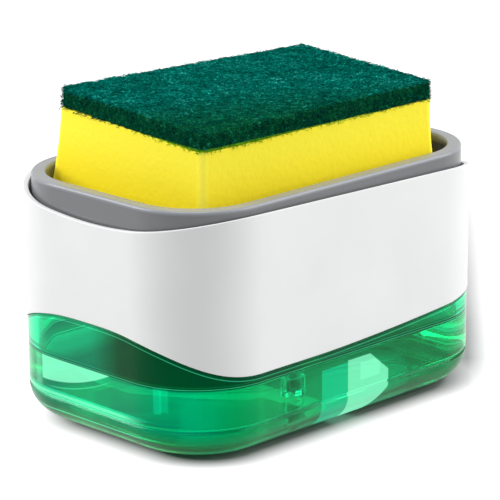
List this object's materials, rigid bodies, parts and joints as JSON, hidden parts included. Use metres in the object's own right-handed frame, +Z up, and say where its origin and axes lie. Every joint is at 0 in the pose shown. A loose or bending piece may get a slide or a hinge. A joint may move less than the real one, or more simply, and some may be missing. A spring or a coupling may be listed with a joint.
{
  "type": "soap pump caddy",
  "caption": "Countertop soap caddy: a clear green tub under a white shell, with a sponge on a sprung grey tray that pumps soap up through its middle when pressed.",
  "frame": {"origin": "middle of the resting plane, under the feet", "axes": "+X along the long side, +Y across towards the back, +Z up"},
  "size_m": [0.1472, 0.0992, 0.108],
  "materials": {
    "clear_green": "clear, tinted green",
    "soap": "clear green liquid",
    "foot_rubber": "clear, matte",
    "white_shell": "smooth semi-gloss",
    "deck_grey": "matte",
    "seal_rubber": "matte",
    "screw_steel": "bright",
    "clear_barrel": "clear",
    "pump_white": "satin",
    "ball_steel": "polished",
    "tube_clear": "clear",
    "spring_steel": "bright",
    "head_grey": "satin",
    "tray_grey": "satin",
    "foam_yellow": "fine open foam",
    "pad_green": "coarse matted fibre"
  },
  "bodies": {
    "base": {"tub": "clear_green", "soap_fill": "soap", "rubber_feet": "foot_rubber"},
    "housing": {"outer_shell": "white_shell", "pump_deck": "deck_grey", "deck_seal": "seal_rubber", "deck_screws": "screw_steel", "barrel_washer": "seal_rubber", "pump_barrel": "clear_barrel", "barrel_collar": "pump_white", "valve_cage": "pump_white", "dip_tube": "tube_clear", "strainer": "pump_white"},
    "inlet_valve": {"inlet_ball": "ball_steel"},
    "plunger": {"return_spring": "spring_steel", "piston": "pump_white", "piston_seal": "seal_rubber", "pump_stem": "pump_white", "pump_head": "head_grey"},
    "outlet_valve": {"outlet_ball": "ball_steel"},
    "tray": {"press_tray": "tray_grey"},
    "sponge": {"sponge_foam": "foam_yellow", "scouring_pad": "pad_green"}
  },
  "joints": [
    {"name": "housing_lift", "type": "slide", "parent": "base", "child": "housing", "axis": [0, 0, 1], "range_m": [0, 0.05]},
    {"name": "press", "type": "slide", "parent": "housing", "child": "plunger", "axis": [0, 0, -1], "range_m": [0, 0.008], "stiffness_N_per_m": 400, "springref_m": -0.006, "deforming": ["return_spring"]},
    {"name": "tray_lift", "type": "slide", "parent": "plunger", "child": "tray", "axis": [0, 0, 1], "range_m": [0, 0.02]},
    {"name": "sponge_lift", "type": "slide", "parent": "tray", "child": "sponge", "axis": [0, 0, 1], "range_m": [0, 0.02]},
    {"name": "inlet_lift", "type": "slide", "parent": "housing", "child": "inlet_valve", "axis": [0, 0, 1], "range_m": [0, 0.0014]},
    {"name": "outlet_lift", "type": "slide", "parent": "plunger", "child": "outlet_valve", "axis": [0, 0, 1], "range_m": [0, 0.001]}
  ]
}
